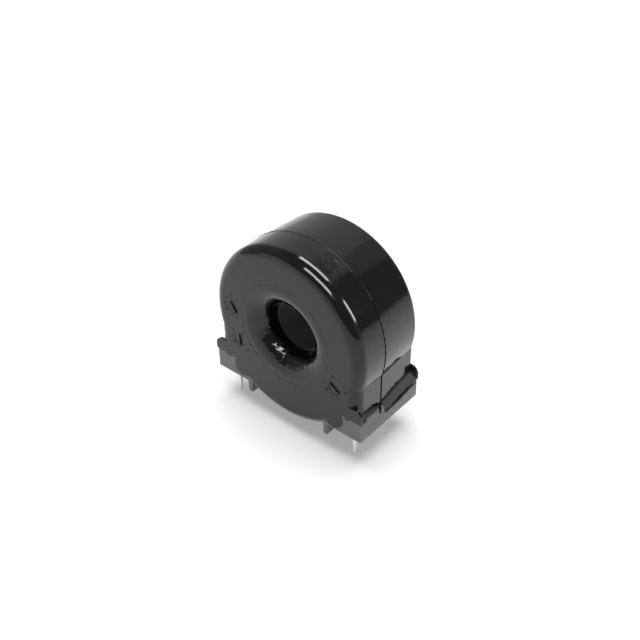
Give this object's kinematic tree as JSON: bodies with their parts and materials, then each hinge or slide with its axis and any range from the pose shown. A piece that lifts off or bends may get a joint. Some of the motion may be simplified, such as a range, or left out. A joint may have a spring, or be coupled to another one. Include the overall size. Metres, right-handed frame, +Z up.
{
  "type": "current transformer",
  "caption": "Ring-shaped current transformer with a through hole for the primary conductor, on a low foot with pins for a circuit board.",
  "frame": {"origin": "half way between the two terminal pins, on the surface of the circuit board that the pegs stand on", "axes": "+X along the foot to the right as seen from the front, +Y along the bore from the front face to the back, +Z up from the board"},
  "size_m": [0.0296, 0.0143, 0.0328],
  "materials": {
    "black_moulding": "moulded, satin to glossy",
    "grey_moulding": "moulded, matt",
    "tinned_pin": "tin plated",
    "enamelled_wire": "enamelled copper",
    "solder": "solder",
    "film_tape": "polyester film",
    "core_case": "moulded",
    "foam": "foam",
    "core_strip": "wound strip"
  },
  "bodies": {
    "root": {"housing": "black_moulding", "base_carrier": "grey_moulding", "left_pin": "tinned_pin", "right_pin": "tinned_pin", "left_lead": "enamelled_wire", "right_lead": "enamelled_wire", "left_solder": "solder", "right_solder": "solder", "coil_tape": "film_tape", "winding": "enamelled_wire", "core_case": "core_case", "core_case_lid": "core_case", "core_cushion": "foam", "core": "core_strip"}
  },
  "joints": []
}
